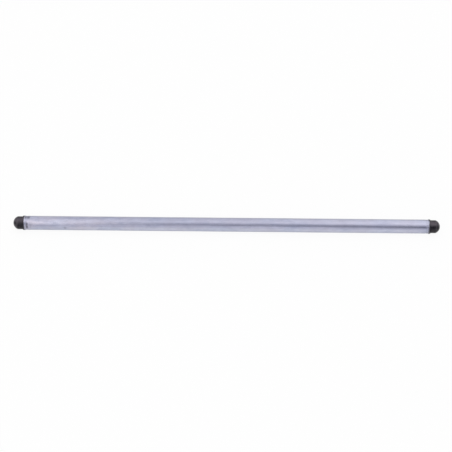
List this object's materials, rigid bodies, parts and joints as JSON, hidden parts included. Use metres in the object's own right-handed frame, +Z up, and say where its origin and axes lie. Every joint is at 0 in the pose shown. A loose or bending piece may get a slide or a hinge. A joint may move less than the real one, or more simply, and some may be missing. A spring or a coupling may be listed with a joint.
{
  "type": "engine pushrod",
  "caption": "Slim straight pushrod: a bright aluminium tube with a dark hardened steel ball end pressed and crimped into each mouth.",
  "frame": {"origin": "middle of the rod's length, on its axis", "axes": "+X along the rod from the tappet ball end to the rocker ball end, +Z up with the rod lying level, -Y towards the viewer"},
  "size_m": [0.195, 0.0068, 0.0068],
  "materials": {
    "drawn_aluminium": "bright drawn satin with fine lengthwise lines, faintly lavender",
    "black_oxide_steel": "turned, hardened and black-oxide finished, semi-matt"
  },
  "bodies": {
    "root": {"rod_tube": "drawn_aluminium", "tappet_ball_end": "black_oxide_steel", "rocker_ball_end": "black_oxide_steel"}
  },
  "joints": []
}
